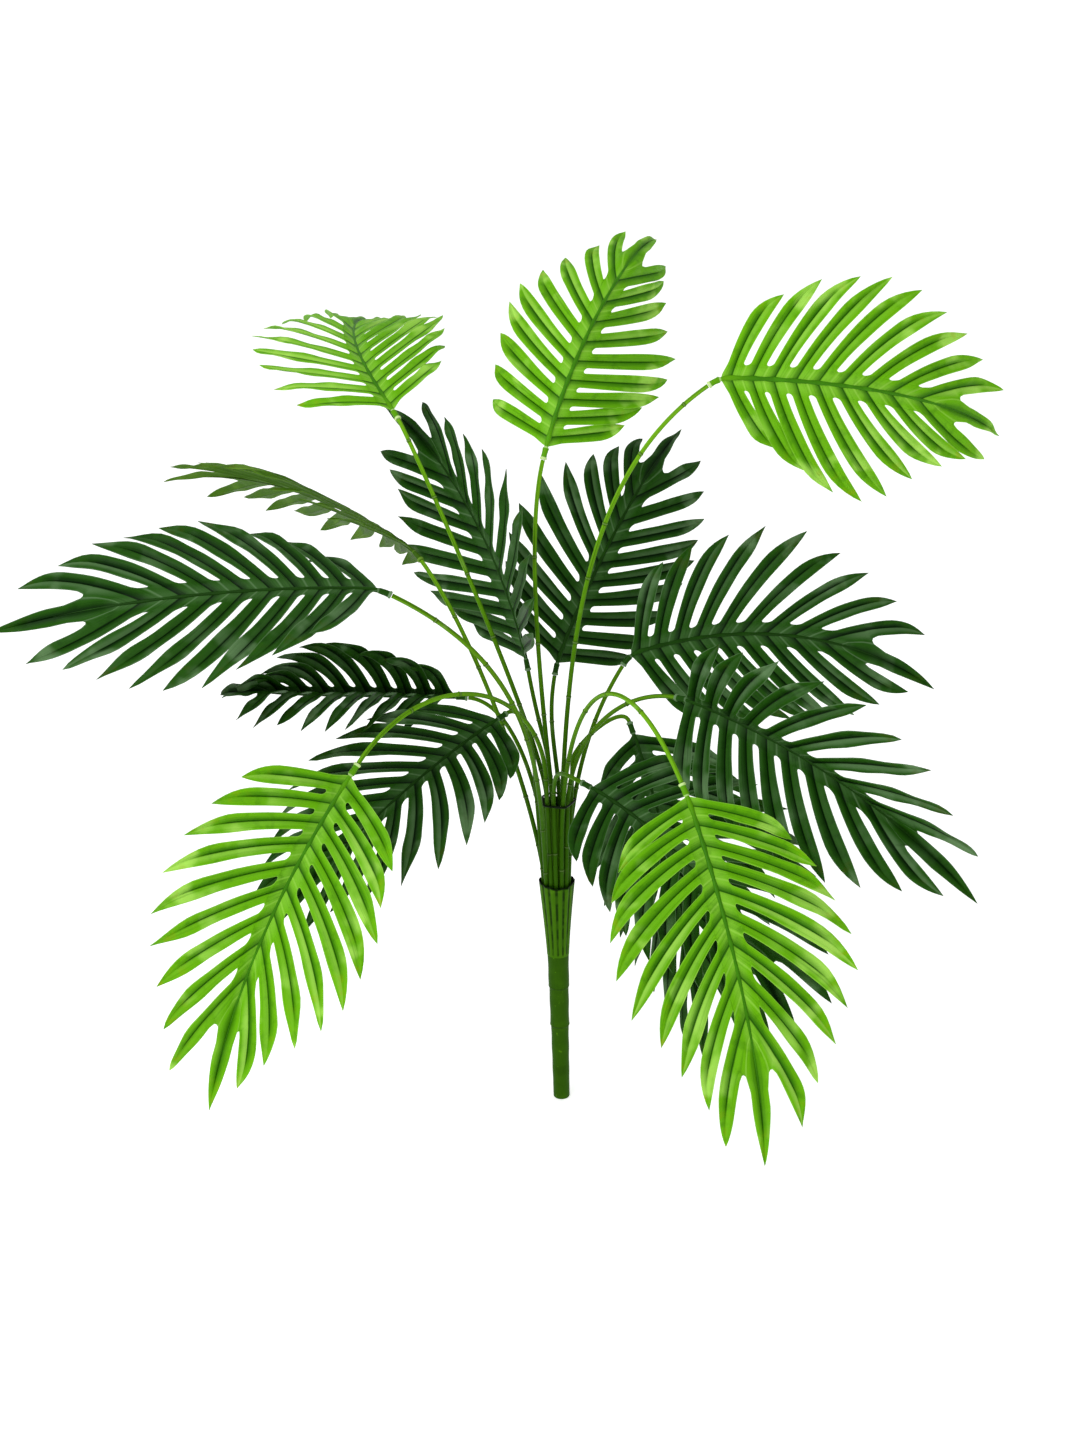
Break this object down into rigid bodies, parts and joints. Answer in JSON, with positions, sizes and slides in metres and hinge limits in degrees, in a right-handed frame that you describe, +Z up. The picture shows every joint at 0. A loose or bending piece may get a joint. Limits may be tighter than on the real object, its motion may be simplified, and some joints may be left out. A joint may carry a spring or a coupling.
{
  "type": "artificial areca palm",
  "caption": "Artificial areca palm: a slim plug-in stem, two ribbed sheaths and arching wire stalks, each with a moulded feather-shaped frond.",
  "frame": {"origin": "centre of the flat foot under the stem, which stands at ground level", "axes": "+Z up, +Y away from the picture's viewer, +X to the viewer's right"},
  "size_m": [0.9366, 0.859, 0.8771],
  "materials": {
    "stem": "satin moulded plastic, dark green",
    "sheath": "satin moulded plastic, green with darker ribs",
    "stalk": "plastic-covered wire, bright green",
    "frond_bright": "printed leaf cloth, bright green with darker creases",
    "frond_middle": "printed leaf cloth, middle green",
    "frond_dark": "printed leaf cloth, deep green with a greyish sheen"
  },
  "bodies": {
    "root": {"stem": "stem", "sheath_lower": "sheath", "sheath_upper": "sheath", "frond_top_left": "frond_bright", "frond_top_middle": "frond_bright", "frond_top_right": "frond_bright", "frond_front_left": "frond_bright", "frond_front_right": "frond_bright", "frond_left_upper": "frond_middle", "frond_left_middle": "frond_dark", "frond_left_lower": "frond_dark", "frond_lower_left": "frond_dark", "frond_centre_left": "frond_dark", "frond_centre_right": "frond_dark", "frond_right_upper": "frond_dark", "frond_right_middle": "frond_dark", "frond_right_lower": "frond_dark", "frond_lower_right": "frond_dark", "stalk_top_left": "stalk", "stalk_top_middle": "stalk", "stalk_top_right": "stalk", "stalk_front_left_rise": "stalk", "stalk_front_left_fall": "stalk", "stalk_front_right_rise": "stalk", "stalk_front_right_fall": "stalk", "stalk_left_upper": "stalk", "stalk_left_middle": "stalk", "stalk_left_lower": "stalk", "stalk_lower_left_rise": "stalk", "stalk_lower_left_fall": "stalk", "stalk_centre_left": "stalk", "stalk_centre_right": "stalk", "stalk_right_upper": "stalk", "stalk_right_middle_rise": "stalk", "stalk_right_middle_fall": "stalk", "stalk_right_lower_rise": "stalk", "stalk_right_lower_fall": "stalk", "stalk_lower_right_rise": "stalk", "stalk_lower_right_fall": "stalk"}
  },
  "joints": []
}
